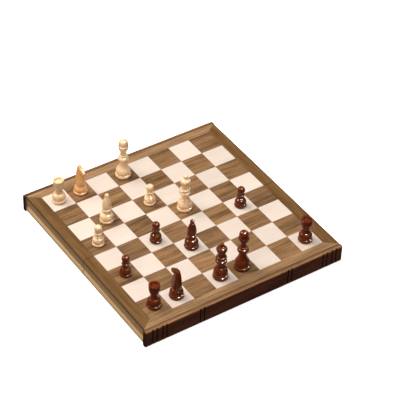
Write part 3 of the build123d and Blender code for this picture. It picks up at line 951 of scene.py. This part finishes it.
class Men:
    """All thirty-two chessmen, standing on the board or lying in the foam."""

    def __init__(self, workshop: Workshop) -> None:
        self.workshop = workshop
        self.bodies: dict[Kind, bmesh.types.BMesh] = {}
        self.felts: dict[Kind, bmesh.types.BMesh] = {}
        self.woods: list[bpy.types.Object] = []

    def place(self, node: str) -> Matrix:
        """Where a man stands or lies, from the box of its CAD node."""
        low, high = (Vector(corner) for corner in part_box(node))
        if low.z > PLAYING_SURFACE - MM:
            return self.standing(node, low)
        return self.lying(node, low, high)

    @staticmethod
    def standing(node: str, low: Vector) -> Matrix:
        """Upright in the middle of its square, turned the way it faces."""
        column, row = (math.floor(value / SQUARE + 0.3) + 0.5 for value in low.xy)
        centre = Vector((column * SQUARE, row * SQUARE, low.z))
        turn = Matrix.Rotation(math.radians(FACINGS.get(node, 0.0)), 4, "Z")
        return Matrix.Translation(centre) @ turn

    @staticmethod
    def lying(node: str, low: Vector, high: Vector) -> Matrix:
        """On its side in its recess: pawns head outwards, the others head inwards."""
        kind = Kind.of(node)
        light = node.startswith("light")
        pawn = kind is Kind.PAWN
        foot = kind.turning.foot * MM
        inner, outer = (low.y, high.y) if light else (high.y, low.y)
        x = (low.x + high.x) / 2
        if kind is Kind.KNIGHT:
            x = low.x + foot if light else high.x - foot
        spot = Vector((x, inner if pawn else outer, high.z - foot))
        turned = Matrix.Rotation(0.0 if light else math.pi, 4, "Z")
        tilted = Matrix.Rotation(math.radians(-90 if pawn else 90), 4, "X")
        return Matrix.Translation(spot) @ turned @ tilted

    def build(self) -> None:
        """Make every man and its felt."""
        for node in sorted(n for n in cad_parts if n.startswith(("light_", "dark_"))):
            kind = Kind.of(node)
            if kind not in self.bodies:
                self.bodies[kind] = kind.make()
                self.felts[kind] = felt_mesh(kind.turning.foot - FELT_INSET)
            place = self.place(node)
            finish = self.finish(node, kind)
            wood = self.workshop.piece(f"{node}_wood", self.bodies[kind], place, finish, node)
            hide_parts(node)
            self.woods.append(wood)
            self.workshop.piece(f"{node}_felt", self.felts[kind], place, FELT, node)

    @staticmethod
    def finish(node: str, kind: Kind) -> Finish:
        """Boxwood or stained wood; the light knights come from a warmer blank."""
        if node.startswith("dark"):
            return STAINED
        return ORANGE_BOXWOOD if kind is Kind.KNIGHT else BOXWOOD


class Case:
    """The folding case: CAD pieces with the finishes of their slots."""

    FINISHES = {
        "panel": PLYWOOD, "light_squares": MAPLE, "dark_squares": WALNUT,
        "border": WALNUT_BORDER, "spine_facing": WALNUT_SPINE, "front_wall": FRONT,
        "page_rail_left": PAGES, "page_rail_right": PAGES, "hinge_rail": FRONT,
        "foam_insert": FOAM, "magnets": STEEL, "hinge_leaves": BRASS, "hinge_screws": BRASS,
    }

    def __init__(self, palette: Palette) -> None:
        self.palette = palette

    def dress(self, node: str, finish: Finish) -> None:
        """Put a finish on a CAD node."""
        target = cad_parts[node]
        target.data.materials.clear()
        target.data.materials.append(self.palette[finish])
        LOG.info("dressed %s in %s", node, finish.name)

    def build(self) -> None:
        """Dress both halves and the pins."""
        for half in ("near", "far"):
            for name, finish in self.FINISHES.items():
                self.dress(f"{half}_{name}", finish)
        self.dress("hinge_pins", BRASS)


# ---- the picture --------------------------------------------------------------------------
@dataclass(frozen=True)
class Softbox:
    """A rectangular soft light.

    Attributes:
        name: its name.
        place: where it hangs, in metres.
        size: the length of its sides.
        power: in watts.
        colour: of the light.
        mirrored: whether glossy surfaces show it as well.
        sparkle: whether it is only a highlight, on the men alone.
        men_only: whether it lights nothing but the men.
    """

    name: str
    place: tuple[float, float, float]
    size: float
    power: float
    colour: Colour = WHITE
    mirrored: bool = False
    sparkle: bool = False
    men_only: bool = False

    def hang(self, target: Vector, polished: bpy.types.Collection) -> None:
        """Hang the light and aim it.

        Args:
            target: what the light points at.
            polished: the pieces that a light for the men alone falls on.
        """
        data = bpy.data.lights.new(self.name, "AREA")
        data.shape = "SQUARE"
        data.size = self.size
        data.energy = self.power
        data.color = self.colour
        lamp = in_scene(self.name, data)
        lamp.location = self.place
        lamp.rotation_euler = (target - Vector(self.place)).to_track_quat("-Z", "Y").to_euler()
        lamp.visible_glossy = self.mirrored or self.sparkle
        lamp.visible_diffuse = not self.sparkle
        if self.sparkle or self.men_only:
            lamp.light_linking.receiver_collection = polished


class Studio:
    """Floor, lights and camera."""

    TARGET = Vector((0.0483, 0.0221, PLAYING_SURFACE))
    EYE = Vector((-1.1055, -1.5997, 1.7534))
    ROLL = math.radians(2.6)
    LENS = 160.42
    LIGHTS_AIM = Vector((0.0, 0.0, 0.03))
    WINDOW = (1.0, 0.98, 0.94)
    LIGHTS = (
        Softbox("key", (-0.9, 1.1, 2.4), 1.5, 56.0, (1.0, 0.98, 0.95)),
        Softbox("top", (0.2, 0.3, 2.6), 2.4, 48.0),
        Softbox("fill", (-1.7, -0.6, 1.7), 0.5, 10.0, (1.0, 0.93, 0.84)),
        Softbox("back strip", (0.3, 2.3, 0.9), 0.8, 3.0, (1.0, 0.97, 0.92), mirrored=True),
        Softbox("men fill", (-1.2, -1.5, 1.6), 0.7, 12.0, (1.0, 0.91, 0.78), men_only=True),
        Softbox("front window", (0.25, -1.0, 1.9), 0.38, 240.0, WINDOW, sparkle=True),
        Softbox("side window", (1.5, -0.35, 1.3), 0.3, 45.0, WINDOW, sparkle=True),
        Softbox("left window", (-1.4, 0.9, 1.5), 0.3, 45.0, WINDOW, sparkle=True),
    )

    def __init__(self, palette: Palette, men: Sequence[bpy.types.Object]) -> None:
        self.palette = palette
        self.men = men

    def build(self) -> None:
        """Set up everything that isn't the object."""
        self.floor()
        self.world()
        polished = bpy.data.collections.new("polished")
        for man in self.men:
            polished.objects.link(man)
        for light in self.LIGHTS:
            light.hang(self.LIGHTS_AIM, polished)
        self.camera()
        bpy.context.scene.view_settings.view_transform = "Standard"

    def floor(self) -> None:
        """A wide pale ground."""
        bm = bmesh.new()
        bmesh.ops.create_grid(bm, x_segments=8, y_segments=8, size=4.0)
        mesh = as_mesh("ground", bm)
        mesh.materials.append(self.palette[GROUND])
        ground = in_scene("ground", mesh)
        ground.visible_diffuse = False
        ground.visible_glossy = False

    def world(self) -> None:
        """A dim surrounding that the camera sees as white, like the floor."""
        world = bpy.data.worlds.new("studio")
        world.use_nodes = True
        graph = Graph(world.node_tree)
        white = (*WHITE, 1.0)
        dim = graph.node("ShaderNodeBackground", {"Color": white, "Strength": 0.08})
        seen = graph.node("ShaderNodeBackground", {"Color": white, "Strength": 1.0})
        path = graph.node("ShaderNodeLightPath")
        both = graph.node("ShaderNodeMixShader")
        end = graph.node("ShaderNodeOutputWorld")
        graph.tree.links.new(path.outputs["Is Camera Ray"], both.inputs[0])
        graph.tree.links.new(dim.outputs[0], both.inputs[1])
        graph.tree.links.new(seen.outputs[0], both.inputs[2])
        graph.tree.links.new(both.outputs[0], end.inputs[0])
        bpy.context.scene.world = world

    def camera(self) -> None:
        """The photograph's point of view."""
        data = bpy.data.cameras.new("camera")
        data.lens = self.LENS
        data.sensor_width = 36.0
        data.clip_end = 20.0
        eye = in_scene("camera", data)
        eye.location = self.EYE
        aim = (self.TARGET - self.EYE).to_track_quat("-Z", "Y")
        eye.rotation_euler = (aim @ Quaternion((0, 0, 1), self.ROLL)).to_euler()
        bpy.context.scene.camera = eye


def main() -> None:
    """Build the set and the studio around it."""
    palette = Palette()
    Case(palette).build()
    men = Men(Workshop(palette))
    men.build()
    Studio(palette, men.woods).build()


if __name__ == "__main__":
    main()
